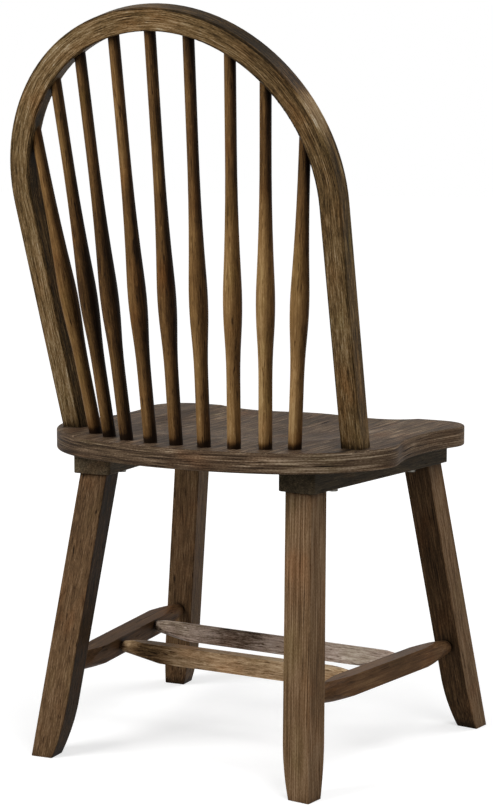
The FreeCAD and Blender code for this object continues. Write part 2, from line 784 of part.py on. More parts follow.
def leg_middle(leg_top, shift, height):
    """The middle of a leg's section at this height above the floor."""
    share = (cleat_bottom - height) / cleat_bottom
    return leg_top + (outward * shift.x + backward * shift.y + Z_AXIS * shift.z) * share


def taper_pocket(body, name, role, face_top, face_foot, cut, inner_sign):
    """Curves one inner face in towards the foot. The face runs from face_top to face_foot."""
    sketch = new_sketch(body, name + "Profile", role)
    share = size("foot_taper_height") / cleat_bottom
    start = face_foot + (face_top - face_foot) * share
    end = face_foot + Vector(-inner_sign * cut, 0, 0)
    down = (face_foot - face_top).normalize()
    chord = end - start
    square = Vector(-down.y, down.x, 0)
    if square.dot(chord) < 0:
        square = square * -1
    radius = chord.Length ** 2 / (2 * square.dot(chord))
    centre = start + square * radius
    beyond = Vector(face_foot.x + inner_sign * lead, face_foot.y - lead, 0)
    below = Vector(end.x, face_foot.y - lead, 0)
    if inner_sign < 0:
        arc = arc_between(centre, radius, start, end)
    else:
        arc = arc_between(centre, radius, end, start)
    sketch.addGeometry(arc, False)
    sketch.addGeometry(Part.LineSegment(end, below), False)
    sketch.addGeometry(Part.LineSegment(below, beyond), False)
    sketch.addGeometry(Part.LineSegment(beyond, start), False)
    pocket = body.newObject("PartDesign::Pocket", name)
    pocket.Profile = sketch
    pocket.Type = "ThroughAll"
    pocket.SideType = "Symmetric"
    before = body.Shape.Volume
    doc.recompute()
    if body.Shape.Volume >= before:
        raise ValueError(name + " cut nothing")
    return pocket


def make_leg(name, leg_top, shift, out_cell, along_cell, along_sign):
    """A square leg that splays and rakes, its two inner faces curving in at the foot."""
    body = new_body(name)
    upper = new_sketch(body, name + "Top", "XY_Plane")
    lower = new_sketch(body, name + "Foot", "XY_Plane")
    for sketch in (upper, lower):
        centred_rectangle(
            sketch, size("leg_width"), size("leg_depth"), cell("leg_width"), cell("leg_depth"))
    lower.setExpression("AttachmentOffset.Base.x", cell(out_cell))
    lower.setExpression(
        "AttachmentOffset.Base.y", cell(along_cell) if along_sign > 0 else "-" + cell(along_cell))
    lower.setExpression(
        "AttachmentOffset.Base.z",
        "-(Sizes.seat_height - Sizes.seat_thickness - Sizes.cleat_thickness)")
    bar = body.newObject("PartDesign::AdditiveLoft", name + "Bar")
    bar.Profile = upper
    bar.Sections = [lower]
    bar.Ruled = True
    doc.recompute()
    half_width = size("leg_width") / 2
    half_depth = size("leg_depth") / 2
    taper_pocket(
        body, name + "InnerTaper", "XZ_Plane",
        Vector(-half_width, 0, 0), Vector(shift.x - half_width, shift.z, 0),
        size("foot_taper_width"), -1)
    taper = taper_pocket(
        body, name + "AlongTaper", "YZ_Plane",
        Vector(-along_sign * half_depth, 0, 0),
        Vector(shift.y - along_sign * half_depth, shift.z, 0),
        size("foot_taper_depth"), -along_sign)
    long_edges = edge_names(
        taper.Shape, lambda edge: edge.BoundBox.ZLength > size("foot_taper_height") / 2)
    ease(body, name + "Ease", taper, long_edges, cell("leg_ease"))
    body.Placement = Placement(leg_top, turn)
    doc.recompute()
    return body


rear_blank = make_leg(
    "RearLegBlank", rear_leg_top, rear_shift, "rear_foot_out", "rear_foot_back", 1)
front_blank = make_leg(
    "FrontLegBlank", front_leg_top, front_shift, "front_foot_out", "front_foot_forward", -1)


# Cleat

def make_cleat():
    body = new_body("CleatBlank")
    sketch = new_sketch(body, "CleatOutline", "XY_Plane")
    half = size("cleat_width") / 2
    back = size("leg_depth") / 2 + size("cleat_rear_overhang")
    front = size("leg_top_distance") + size("leg_depth") / 2 + size("cleat_front_overhang")
    corners = [
        Vector(-half, -front, 0), Vector(half, -front, 0), Vector(half, back, 0),
        Vector(-half, back, 0)]
    for index in range(4):
        sketch.addGeometry(Part.LineSegment(corners[index], corners[(index + 1) % 4]), False)
    close_loop(sketch, 0, 3)
    sketch.addConstraint([
        Sketcher.Constraint("Horizontal", 2),
        Sketcher.Constraint("Vertical", 1),
        Sketcher.Constraint("Vertical", 3),
        Sketcher.Constraint("Symmetric", 0, 1, 0, 2, -2),
    ])
    bind(sketch, Sketcher.Constraint("DistanceX", 0, 1, 0, 2, 2 * half), "width",
         cell("cleat_width"))
    bind(sketch, Sketcher.Constraint("DistanceY", -1, 1, 2, 1, back), "back",
         "Sizes.leg_depth / 2 + Sizes.cleat_rear_overhang")
    bind(sketch, Sketcher.Constraint("DistanceY", 0, 1, -1, 1, front), "front",
         "Sizes.leg_top_distance + Sizes.leg_depth / 2 + Sizes.cleat_front_overhang")
    bar = body.newObject("PartDesign::Pad", "CleatBar")
    bar.Profile = sketch
    bar.setExpression("Length", cell("cleat_thickness"))
    doc.recompute()
    corner_edges = edge_names(bar.Shape, lambda edge: edge.BoundBox.ZLength > LEVEL)
    cornered = ease(body, "CleatCorners", bar, corner_edges, cell("cleat_corner"))
    under = edge_names(cornered.Shape, lambda edge: edge.BoundBox.ZMax < LEVEL)
    ease(body, "CleatEase", cornered, under, cell("cleat_ease"))
    body.Placement = Placement(rear_leg_top, turn)
    doc.recompute()
    return body


cleat_blank = make_cleat()


# Stretchers

def make_stretcher(name, length, thickness_cell, height_cell, kind, placement):
    """A bar whose ends are shaved to a cone and a round tenon: the bar and a turned form, common."""
    tenon_radius = size(kind + "_tenon_radius")
    tenon_length = size(kind + "_tenon_length")
    nose_radius = size(kind + "_nose_radius")
    nose_length = size(kind + "_nose_length")
    nose_round = size("nose_round")
    bar_drop = size(kind + "_bar_drop")
    full_radius = math.hypot(size(thickness_cell) / 2, size(height_cell) / 2 + bar_drop)
    full_radius += size("turning_margin")
    half = length / 2
    shoulder = half - tenon_length
    body = new_body(name + "Turning")
    sketch = new_sketch(body, name + "TurningProfile", "XZ_Plane")
    bend = 1.0 - math.sqrt(0.5)
    ends = []
    for sign in (1, -1):
        points = [
            Vector(0, sign * half, 0),
            Vector(tenon_radius, sign * half, 0),
            Vector(tenon_radius, sign * shoulder, 0),
            Vector(nose_radius - nose_round * bend, sign * (shoulder - nose_round * bend), 0),
            Vector(nose_radius, sign * (shoulder - nose_round), 0),
            Vector(full_radius, sign * (shoulder - nose_length), 0),
        ]
        for edge in (
            Part.LineSegment(points[0], points[1]),
            Part.LineSegment(points[1], points[2]),
            Part.Arc(points[2], points[3], points[4]),
            Part.LineSegment(points[4], points[5]),
        ):
            sketch.addGeometry(edge, False)
        ends.append(points)
    sketch.addGeometry(Part.LineSegment(ends[0][5], ends[1][5]), False)
    sketch.addGeometry(Part.LineSegment(ends[1][0], ends[0][0]), False)
    turning = body.newObject("PartDesign::Revolution", name + "Turned")
    turning.Profile = sketch
    turning.ReferenceAxis = (sketch, ["V_Axis"])
    turning.Angle = 360.0
    bar = doc.addObject("Part::Box", name + "Bar")
    bar.setExpression("Length", cell(thickness_cell))
    bar.setExpression("Width", cell(height_cell))
    bar.Height = length
    bar.Placement.Base = Vector(
        -size(thickness_cell) / 2, bar_drop - size(height_cell) / 2, -half)
    shaved = doc.addObject("Part::Common", name)
    shaved.Base = bar
    shaved.Tool = body
    shaved.Placement = placement
    doc.recompute()
    return shaved


def stretcher_placement(start, end, lean):
    """Midway between start and end, its Z along them, its Y up but leaning by some degrees."""
    along = (end - start).normalize()
    side = along.cross(Z_AXIS).normalize()
    up = side.cross(along).normalize()
    upright = Rotation(side, up, along, "ZXY")
    spin = Rotation(Z_AXIS, lean)
    return Placement((start + end) / 2, upright.multiply(spin))


def side_line(rise):
    """Where a side stretcher's axis meets the middle of the rear leg and of the front leg."""
    height = size("side_stretcher_height")
    rear = leg_middle(rear_leg_top, rear_shift, height - rise / 2)
    front = leg_middle(front_leg_top, front_shift, height + rise / 2)
    return rear, front


def socket_drill(name, tenon_end, inward, kind):
    """Drills the socket for a tenon that ends at this point and comes from inward."""
    clear = size(kind + "_tenon_length") + 2 * size("shoulder_gap")
    return rod(
        name,
        "Sizes.%s_tenon_radius + Sizes.joint_clearance" % kind,
        "%f + Sizes.socket_bottom_gap" % clear,
        along_line(tenon_end + inward * clear, inward * -1))


def across(vector):
    """The same place or direction on the chair's other side."""
    return Vector(-vector.x, vector.y, vector.z)


side_blanks = {}
side_drills = {}
leg_sockets = {}
for side in ("left", "right"):
    rear, front = side_line(size(side + "_stretcher_rise"))
    unit = (front - rear).normalize()
    inset = size("leg_depth") / 2 + size("shoulder_gap") - size("side_tenon_length")
    start = rear + unit * inset
    end = front - unit * inset
    name = "SideStretcher" + side.title()
    side_blanks[side] = make_stretcher(
        name, (end - start).Length, "side_stretcher_size", "side_stretcher_size", "side",
        stretcher_placement(start, end, size("side_stretcher_lean")))
    side_drills[side] = []
    leg_sockets[side, "rear"] = socket_drill(name + "RearSocket", start, unit, "side")
    leg_sockets[side, "front"] = socket_drill(name + "FrontSocket", end, unit * -1, "side")

for place in ("rear", "front"):
    ends = {}
    for side in ("left", "right"):
        rear, front = side_line(size(side + "_stretcher_rise"))
        share = (size(place + "_cross_reach") - rear.y) / (front.y - rear.y)
        middle = rear + (front - rear) * share
        inset = size("side_stretcher_size") / 2 + size("shoulder_gap")
        inset -= size("cross_tenon_length")
        ends[side] = middle - Vector(inset, 0, size(place + "_cross_drop"))
    start = across(ends["right"])
    end = ends["left"]
    unit = (end - start).normalize()
    cross = make_stretcher(
        "CrossStretcher" + place.title(), (end - start).Length, "cross_thickness",
        place + "_cross_height", "cross",
        stretcher_placement(start, end, size(place + "_cross_lean")))
    finished(cross, "cross_stretcher_" + place)
    side_drills["left"].append(socket_drill(
        "LeftCrossSocket" + place.title(), ends["left"], unit * -1, "cross"))
    side_drills["right"].append(socket_drill(
        "RightCrossSocket" + place.title(), ends["right"], across(unit), "cross"))


# Fastenings: dowels between legs and cleats, bolts through the cleats into the seat

dowels = []
cleat_drills = []
dowel_holes = {"rear": [], "front": []}
for place, leg_top in (("rear", rear_leg_top), ("front", front_leg_top)):
    for spot, along in (("A", -0.5), ("B", 0.5)):
        base = leg_top + backward * (along * size("dowel_spacing"))
        bottom = base - Z_AXIS * size("dowel_half_length")
        dowels.append(rod(
            "Dowel%s%s" % (place.title(), spot),
            cell("dowel_radius"),
            "2 * Sizes.dowel_half_length",
            along_line(bottom, Z_AXIS)))
        hole = rod(
            "DowelHole%s%s" % (place.title(), spot),
            "Sizes.dowel_radius + Sizes.joint_clearance",
            "2 * (Sizes.dowel_half_length + Sizes.socket_bottom_gap)",
            along_line(bottom - Z_AXIS * size("socket_bottom_gap"), Z_AXIS))
        dowel_holes[place].append(hole)
        cleat_drills.append(hole)

bolts = []
washers = []
inserts = []
for spot, base in (
    ("Rear", rear_leg_top - backward * size("rear_bolt_distance")),
    ("Front", front_leg_top + backward * size("front_bolt_distance")),
):
    washer_blank = rod(
        "WasherBlank" + spot, cell("washer_radius"), cell("washer_thickness"),
        along_line(base - Z_AXIS * size("washer_thickness"), Z_AXIS))
    bolt_hole = rod(
        "BoltHole" + spot,
        "Sizes.bolt_radius + Sizes.bolt_clearance",
        "Sizes.cleat_thickness + 2 * Sizes.cutter_lead",
        along_line(base - Z_AXIS * lead, Z_AXIS))
    washers.append(drilled("Washer" + spot, washer_blank, [bolt_hole]))
    cleat_drills.append(bolt_hole)
    head_top = base - Z_AXIS * size("washer_thickness")
    head = rod(
        "BoltHead" + spot, cell("bolt_head_radius"), cell("bolt_head_height"),
        along_line(head_top - Z_AXIS * size("bolt_head_height"), Z_AXIS))
    key_socket = doc.addObject("Part::Prism", "BoltKey" + spot)
    key_socket.Polygon = 6
    key_socket.setExpression("Circumradius", cell("bolt_socket_radius"))
    key_socket.setExpression("Height", cell("bolt_socket_depth"))
    key_socket.Placement.Base = head_top - Z_AXIS * size("bolt_head_height")
    head_cut = drilled("BoltHeadCut" + spot, head, [key_socket])
    shank = rod(
        "BoltShank" + spot,
        cell("bolt_radius"),
        "Sizes.washer_thickness + Sizes.cleat_thickness + Sizes.bolt_engagement",
        along_line(head_top, Z_AXIS))
    bolt = doc.addObject("Part::MultiFuse", "Bolt" + spot)
    bolt.Shapes = [head_cut, shank]
    bolts.append(bolt)
    seat_under = base + Z_AXIS * size("cleat_thickness")
    insert_blank = rod(
        "InsertBlank" + spot, cell("insert_radius"), cell("insert_length"),
        along_line(seat_under, Z_AXIS))
    insert_bore = rod(
        "InsertBore" + spot,
        "Sizes.bolt_radius + Sizes.joint_clearance",
        "Sizes.insert_length + 2 * Sizes.cutter_lead",
        along_line(seat_under - Z_AXIS * lead, Z_AXIS))
    inserts.append(drilled("Insert" + spot, insert_blank, [insert_bore]))
    for side, sign in (("Left", 1), ("Right", -1)):
        hole_foot = Vector(sign * seat_under.x, seat_under.y, seat_under.z - lead)
        seat_drills.append(rod(
            "InsertHole%s%s" % (spot, side),
            "Sizes.insert_radius + Sizes.joint_clearance",
            "Sizes.insert_length + Sizes.socket_bottom_gap + Sizes.cutter_lead",
            along_line(hole_foot, Z_AXIS)))


def both_sides(name, label, left_pieces):
    """One node that holds the same fastener on both sides."""
    group = doc.addObject("Part::Compound", name)
    copies = [mirrored("%sMirror%d" % (name, i), p) for i, p in enumerate(left_pieces, 1)]
    group.Links = left_pieces + copies
    return finished(group, label)


both_sides("CleatBolts", "cleat_bolts", bolts)
both_sides("CleatWashers", "cleat_washers", washers)
both_sides("ThreadedInserts", "threaded_inserts", inserts)
both_sides("LegDowels", "leg_dowels", dowels)

for side in ("left", "right"):
    for name, label, blank, drills in (
        ("LegRear", "leg_rear", rear_blank, dowel_holes["rear"] + [leg_sockets[side, "rear"]]),
        ("LegFront", "leg_front", front_blank, dowel_holes["front"] + [leg_sockets[side, "front"]]),
        ("Cleat", "cleat", cleat_blank, cleat_drills),
        ("Side", "side_stretcher", side_blanks[side], side_drills[side]),
    ):
        piece = drilled("%sCut%s" % (name, side.title()), blank, drills)
        if side == "right":
            piece = mirrored(name + "Right", piece)
        finished(piece, "%s_%s" % (label, side))

finished(drilled("Seat", seat_plank, seat_drills), "seat")


# Every object is checked, and then each piece is written to its own file

doc.recompute()
for item in doc.Objects:
    if "Invalid" in item.State or "Error" in item.State:
        raise ValueError("%s failed: %s" % (item.Name, item.State))
for piece in pieces:
    if piece.Shape.isNull() or not piece.Shape.isValid():
        raise ValueError("%s has no valid shape" % piece.Label)
for piece in pieces:
    piece.Shape.exportStep("parts/%s.step" % piece.Label)
    print(piece.Label, len(piece.Shape.Solids), "solids", round(piece.Shape.Volume), "cubic mm")

whole = Part.makeCompound([piece.Shape for piece in pieces]).optimalBoundingBox()
print("chair from %.1f %.1f %.1f to %.1f %.1f %.1f" % (
    whole.XMin, whole.YMin, whole.ZMin, whole.XMax, whole.YMax, whole.ZMax))
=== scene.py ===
import bpy
import math
import numpy as np
from mathutils import Matrix, Vector

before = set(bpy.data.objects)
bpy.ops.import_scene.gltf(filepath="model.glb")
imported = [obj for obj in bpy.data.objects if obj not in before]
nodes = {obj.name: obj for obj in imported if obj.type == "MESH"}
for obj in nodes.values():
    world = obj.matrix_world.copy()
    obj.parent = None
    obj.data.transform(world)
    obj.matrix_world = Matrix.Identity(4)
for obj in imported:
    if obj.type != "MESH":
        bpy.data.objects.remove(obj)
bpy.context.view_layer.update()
UP = Vector((0, 0, 1))


# A small helper for writing node trees as expressions

class Tree:
    """Adds nodes to a material's tree. A value is a number, a tuple or another node's output."""

    def __init__(self, owner):
        self.tree = owner.node_tree
        self.tree.nodes.clear()

    def node(self, kind, inputs=None, **settings):
        """A new node with its inputs fed and its settings made."""
        made = self.tree.nodes.new(kind)
        for key, value in settings.items():
            setattr(made, key, value)
        for key, value in (inputs or {}).items():
            self.feed(made.inputs[key], value)
        return made

    def feed(self, socket, value):
        """Links another node's output to a socket, or sets the socket's own value."""
        if isinstance(value, bpy.types.NodeSocket):
            self.tree.links.new(value, socket)
        else:
            socket.default_value = value

    def math(self, operation, *values, clamp=False):
        made = self.tree.nodes.new("ShaderNodeMath")
        made.operation = operation
        made.use_clamp = clamp
        for socket, value in zip(made.inputs, values):
            self.feed(socket, value)
        return made.outputs[0]

    def add(self, first, *others):
        """The sum of two or more values."""
        for other in others:
            first = self.math("ADD", first, other)
        return first

    def split(self, vector):
        """The three parts of a vector."""
        return self.node("ShaderNodeSeparateXYZ", {"Vector": vector}).outputs

    def join(self, x, y, z):
        return self.node("ShaderNodeCombineXYZ", {"X": x, "Y": y, "Z": z}).outputs[0]

    def noise(self, vector, seed, detail=2.0, roughness=0.5, distortion=0.0):
        """Noise at one cycle for each unit of the vector, between 0 and 1."""
        return self.node(
            "ShaderNodeTexNoise",
            {"Vector": vector, "W": seed, "Scale": 1.0, "Detail": detail, "Roughness": roughness,
             "Distortion": distortion},
            noise_dimensions="4D").outputs["Fac"]

    def ramp(self, value, low, high, low_value=0.0, high_value=1.0):
        """The value taken smoothly from low..high to low_value..high_value."""
        return self.node(
            "ShaderNodeMapRange",
            {"Value": value, "From Min": low, "From Max": high, "To Min": low_value,
             "To Max": high_value},
            interpolation_type="SMOOTHSTEP").outputs["Result"]

    def mix(self, share, first, second, blend="MIX"):
        made = self.tree.nodes.new("ShaderNodeMix")
        made.data_type = "RGBA"
        made.blend_type = blend
        self.feed(made.inputs["Factor"], share)
        self.feed(made.inputs["A"], first)
        self.feed(made.inputs["B"], second)
        return made.outputs["Result"]

    def apart(self, value, place):
        """How far a value is from a place, either way."""
        return self.math("ABSOLUTE", self.math("SUBTRACT", value, place))

    def seen(self):
        """1 where the camera, a reflection or a clear surface looks, and 0 for other light."""
        path = self.node("ShaderNodeLightPath").outputs
        through = self.math("MAXIMUM", path["Is Glossy Ray"], path["Is Transmission Ray"])
        return self.math("MAXIMUM", path["Is Camera Ray"], through)

    def surface(self, shader, kind="ShaderNodeOutputMaterial"):
        """Ends the tree with a shader node on its output."""
        output = self.node(kind)
        self.tree.links.new(shader.outputs[0], output.inputs["Surface"])


def rgb(red, green, blue):
    """A colour written as on screen, 0 to 255, turned linear for the shader."""
    def linear(value):
        value /= 255.0
        return value / 12.92 if value <= 0.04045 else ((value + 0.055) / 1.055) ** 2.4
    return (linear(red), linear(green), linear(blue), 1.0)


# Where the grain of each piece runs

def long_axis(node):
    """The middle of a piece, the direction it is longest in, and its half length."""
    points = np.array([v.co for v in nodes[node].data.vertices], float)
    middle = (points.max(0) + points.min(0)) / 2
    directions = np.linalg.svd(points - points.mean(0), full_matrices=False)[2]
    along = directions[0]
    if along[int(np.argmax(np.abs(along)))] < 0:
        along = -along
    reach = (points - middle) @ along
    middle = middle + along * (reach.max() + reach.min()) / 2
    return Vector(middle), Vector(along), (reach.max() - reach.min()) / 2


def straight_grain(tree, origin, along, side=Vector((1, 0, 0))):
    """Object coordinates turned so that Z runs along the grain from origin, in metres."""
    across = along.cross(side).normalized()
    third = across.cross(along).normalized()
    turn = Matrix((third, across, along)).transposed().to_euler()
    here = tree.node("ShaderNodeTexCoord").outputs["Object"]
    return tree.node(
        "ShaderNodeMapping", {"Vector": here, "Location": origin, "Rotation": turn},
        vector_type="TEXTURE").outputs[0]


# The bow's middle line: its lean, the middle of its feet, the height of its arch's centre
# above them, the arch's radius, and how much its legs close in towards the feet
BOW_LEAN = math.radians(15.7)
BOW_FOOT = Vector((0, 0.0976, 0.457))
BOW_ARCH = 0.344
BOW_RADIUS = 0.239
BOW_SPLAY = 0.0407


def bow_grain(tree):
    """Coordinates that bend with the bow: across it, through it, and along it."""
    up = Vector((0, math.sin(BOW_LEAN), math.cos(BOW_LEAN)))
    flat = straight_grain(tree, BOW_FOOT, up)
    x, depth, rise = tree.split(flat)
    over = tree.math("SUBTRACT", rise, BOW_ARCH)
    above = tree.math("MAXIMUM", over, 0.0)
    below = tree.math("MAXIMUM", tree.math("MULTIPLY", over, -1.0), 0.0)
    radius = tree.math("SQRT", tree.math(
        "ADD", tree.math("MULTIPLY", x, x), tree.math("MULTIPLY", above, above)))
    across = tree.math("ADD", radius, tree.math("MULTIPLY", below, BOW_SPLAY))
    bend = tree.math("MULTIPLY", tree.math("ARCTAN2", above, x), BOW_RADIUS)
    straight = tree.math("MULTIPLY", tree.math("SIGN", x), below)
    along = tree.math("SUBTRACT", bend, straight)
    return tree.join(across, depth, along)


# Stained, open-grained wood

def stretched(tree, grain, across, through, along):
    """Grain coordinates scaled to cycles for each metre in the three directions."""
    return tree.node(
        "ShaderNodeVectorMath", {0: grain, 1: (across, through, along)},
        operation="MULTIPLY").outputs[0]


def turned_to(tree, direction):
    """How much a surface faces a direction, from -1 to 1."""
    facing = tree.node("ShaderNodeNewGeometry").outputs["Normal"]
    return tree.node(
        "ShaderNodeVectorMath", {0: facing, 1: direction},
        operation="DOT_PRODUCT").outputs["Value"]


def worn_edges(tree, radius):
    """0 on a flat face, rising to 1 on an outer edge or an inner corner."""
    rounded = tree.node("ShaderNodeBevel", {"Radius": radius}, samples=6).outputs[0]
    return tree.ramp(turned_to(tree, rounded), 0.995, 0.90)


# Cycles in a metre of each layer of the wood: across the grain, through it and along it
CLOUD = (16, 16, 7)
PATCH = (46, 46, 20)
RING = (190, 190, 5)
LINE = (380, 380, 14)
SPECK = (1100, 1100, 300)
HUE = (24, 24, 12)
# Cycles across the grain for the layers whose cycles along it differ from piece to piece
HAIR = 720
VESSEL = 460
RUB = 420

# How much each mark changes the tone, where 1 is about a step between two stain colours
PATCH_TONE = 0.6
LINE_TONE = 0.8
SPECK_TONE = 0.45
VESSEL_TONE = -2.1
RUB_TONE = 1.9
EDGE_TONE = 0.9
# The last tone is painted shade in joints and nooks.
NOOK_SHADE_TONE = -2.4

SEED_STEP = 6.37
NOISE_SPREAD = 5.0
TONE_SPREAD = 4.8
EDGE_RADIUS = 0.002
NOOK_SHADE_REACH = 0.022
RELIEF_DEPTH = 0.00022
RUDDY = (1.12, 0.91, 0.76, 1.0)
OLIVE = (0.93, 1.00, 0.86, 1.0)


def wood(name, grain_of, seed, tones, growth=0.5, fibre=0.5, pores=0.5, rubs=0.4, clouds=0.5,
         glaze_and_light=None, lift=0.0, dash=42, roughness=0.45, gloss=0.025):
    """A stained wood finish.

    tones run from the darkest glaze to the most rubbed colour. growth, fibre, pores, rubs and
    clouds say how strong the growth lines, the fine fibres, the dark pores, the rubbed flecks
    and the wide stain clouds are. glaze_and_light adds a piece's own marks, which are real glaze
    and wear on some pieces and painted light and shade on others, and lift makes the whole
    piece lighter. dash is the number of hairs and pores in a metre along the grain.
    """
    material = bpy.data.materials.new(name)
    material.use_nodes = True
    tree = Tree(material)
    grain = grain_of(tree)

    def layer(number, cycles, detail=2.0, roughness=0.55, distortion=0.0):
        """Noise around 0, in about -1 to 1."""
        where = stretched(tree, grain, *cycles)
        value = tree.noise(where, seed + number * SEED_STEP, detail, roughness, distortion)
        return tree.math("MULTIPLY", tree.math("SUBTRACT", value, 0.5), NOISE_SPREAD)

    cloud = layer(1, CLOUD, detail=3.0)
    patch = layer(2, PATCH, distortion=0.5)
    ring = layer(3, RING, distortion=0.3)
    line = layer(4, LINE, detail=2.5, roughness=0.6)
    hair = layer(5, (HAIR, HAIR, dash))
    speck = layer(6, SPECK, detail=1.0)
    vessel = layer(7, (VESSEL, VESSEL, dash), detail=1.5)
    rub = layer(8, (RUB, RUB, 1.4 * dash), detail=1.5)
    hue = layer(9, HUE, detail=2.5)

    tone = tree.math("MULTIPLY_ADD", cloud, clouds, lift)
    for value, weight in (
        (patch, PATCH_TONE * clouds), (ring, growth), (line, LINE_TONE * growth),
        (hair, fibre), (speck, SPECK_TONE * fibre),
    ):
        tone = tree.math("MULTIPLY_ADD", value, weight, tone)
    vessels = tree.ramp(vessel, 0.55, 1.15)
    rubbed = tree.ramp(rub, 0.75, 1.4)
    tone = tree.math("MULTIPLY_ADD", vessels, VESSEL_TONE * pores, tone)
    tone = tree.math("MULTIPLY_ADD", rubbed, RUB_TONE * rubs, tone)
    if glaze_and_light is not None:
        tone = tree.add(tone, glaze_and_light(tree, grain))
    edge = tree.math("MULTIPLY", worn_edges(tree, EDGE_RADIUS), tree.ramp(patch, -0.6, 0.9))
    tone = tree.math("MULTIPLY_ADD", edge, EDGE_TONE, tone)
    # Painted shade: the tone darkens where ambient occlusion finds other surfaces close by, in
    # joints and nooks, standing also for glaze pooled there.
    nook_shade = tree.node(
        "ShaderNodeAmbientOcclusion", {"Distance": NOOK_SHADE_REACH}, samples=6).outputs["AO"]
    tone = tree.add(tone, tree.ramp(nook_shade, 0.25, 0.80, NOOK_SHADE_TONE, 0.0))

    place = tree.math("MULTIPLY_ADD", tone, 1 / TONE_SPREAD, 0.5, clamp=True)
    scale = tree.tree.nodes.new("ShaderNodeValToRGB")
    steps = scale.color_ramp.elements
    while len(steps) < len(tones):
        steps.new(0.5)
    for index, colour in enumerate(tones):
        steps[index].position = index / (len(tones) - 1)
        steps[index].color = colour
    tree.feed(scale.inputs[0], place)
    ruddy = tree.ramp(hue, 0.0, 1.6)
    olive = tree.ramp(hue, 0.0, -1.6)
    colour = tree.mix(ruddy, scale.outputs["Color"], RUDDY, blend="MULTIPLY")
    colour = tree.mix(olive, colour, OLIVE, blend="MULTIPLY")

    relief = tree.math("MULTIPLY_ADD", hair, 0.35, tree.math("MULTIPLY", line, 0.5))
    relief = tree.math("MULTIPLY_ADD", vessels, -1.3, relief)
    bump = tree.node(
        "ShaderNodeBump",
        {"Strength": 0.5, "Distance": RELIEF_DEPTH, "Height": relief}).outputs[0]
    rough = tree.math("MULTIPLY_ADD", hair, 0.05, roughness)
    rough = tree.math("MULTIPLY_ADD", vessels, 0.16, rough)
    shader = tree.node(
        "ShaderNodeBsdfPrincipled",
        {"Base Color": colour, "Roughness": rough, "Specular IOR Level": gloss, "Normal": bump})
    tree.surface(shader)
    return material


def dress(node, material):
    """Puts a material on every slot of a CAD node."""
    mesh = nodes[node].data
    if not mesh.materials:
        mesh.materials.append(material)
    for index in range(len(mesh.materials)):
        mesh.materials[index] = material


# Stain colours, from the darkest glaze to the most rubbed wood
SPINDLE_TONES = (
    rgb(26, 17, 10), rgb(58, 40, 22), rgb(94, 68, 39), rgb(126, 96, 59), rgb(164, 134, 92))
BOW_TONES = (
    rgb(30, 23, 14), rgb(66, 51, 31), rgb(104, 82, 53), rgb(140, 120, 90), rgb(178, 166, 146))
LEG_TONES = (
    rgb(33, 24, 15), rgb(64, 47, 31), rgb(98, 75, 52), rgb(132, 108, 83), rgb(168, 145, 118))
SEAT_TONES = (
    rgb(24, 18, 13), rgb(48, 37, 28), rgb(74, 59, 45), rgb(106, 88, 70), rgb(152, 134, 112))
# The cleats' dark colours stand partly for painted shade under the seat.
CLEAT_TONES_WITH_SHADE = (
    rgb(18, 14, 9), rgb(34, 28, 20), rgb(54, 46, 34), rgb(76, 65, 50), rgb(104, 90, 70))
REAR_CROSS_TONES = (
    rgb(46, 33, 20), rgb(96, 73, 49), rgb(143, 116, 86), rgb(178, 152, 120), rgb(208, 186, 156))
# These pale greyish colours hold the stain and also painted sheen, the grey gloss of a lamp on
# the front cross stretcher.
FRONT_CROSS_TONES_WITH_SHEEN = (
    rgb(38, 29, 22), rgb(84, 68, 56), rgb(140, 121, 107), rgb(178, 160, 147), rgb(206, 192, 180))
SIDE_TONES = (
    rgb(26, 18, 11), rgb(55, 39, 25), rgb(86, 62, 41), rgb(114, 88, 61), rgb(150, 124, 96))
DOWEL_TONES = (
    rgb(112, 84, 52), rgb(150, 118, 78), rgb(184, 152, 108), rgb(200, 170, 128),
    rgb(214, 190, 150))


# Where each set of pieces starts in the noise, and the step from piece to piece
SPINDLE_SEED = 5.3
BOW_SEED = 71.3
LEG_SEED = 101.7
RAIL_SEED = 201.7
SEAT_SEED = 301.7
DOWEL_SEED = 401.7
PIECE_STEP = 9.1


SPINDLE_TENON = 0.020
# The way that the side of each spindle with painted shade faces
PAINTED_SHADE_SIDE = Vector((-0.87, -0.50, 0)).normalized()
# How much lighter or darker each spindle is made, low down and high up, from spindle_1 to
# spindle_9
SPINDLE_LIFTS = (
    (0.5, -1.0), (1.0, -0.9), (0.6, -0.7), (-0.2, -0.9), (-0.7, -0.7), (-0.6, -0.3),
    (-1.2, -0.6), (-1.0, -0.1), (-0.1, 0.1),
)


def spindle_glaze_and_shade(sunk, low, high):
    """Dark stain at the foot, painted shade down one side and painted light on the other, a
    rubbed stretch, and a head of its own.
    """
    def change(tree, grain):
        height = tree.add(tree.split(grain)[2], sunk)
        foot = tree.ramp(height, 0.003, 0.013, -2.2, 0.0)
        rubbed = tree.math(
            "MULTIPLY", tree.ramp(height, 0.012, 0.030), tree.ramp(height, 0.16, 0.06))
        length = tree.ramp(height, 0.24, 0.42, low, high)
        head = tree.ramp(height, 0.46, 0.60, 0.0, -0.5)
        # Painted shade down the side turned to the sitter's right and forward, and painted light
        # on the side turned away.
        painted_side_shade = tree.ramp(turned_to(tree, PAINTED_SHADE_SIDE), -0.5, 0.9, 0.5, -1.7)
        tone = tree.add(foot, head, length, painted_side_shade)
        return tree.math("MULTIPLY_ADD", rubbed, 0.4, tone)
    return change


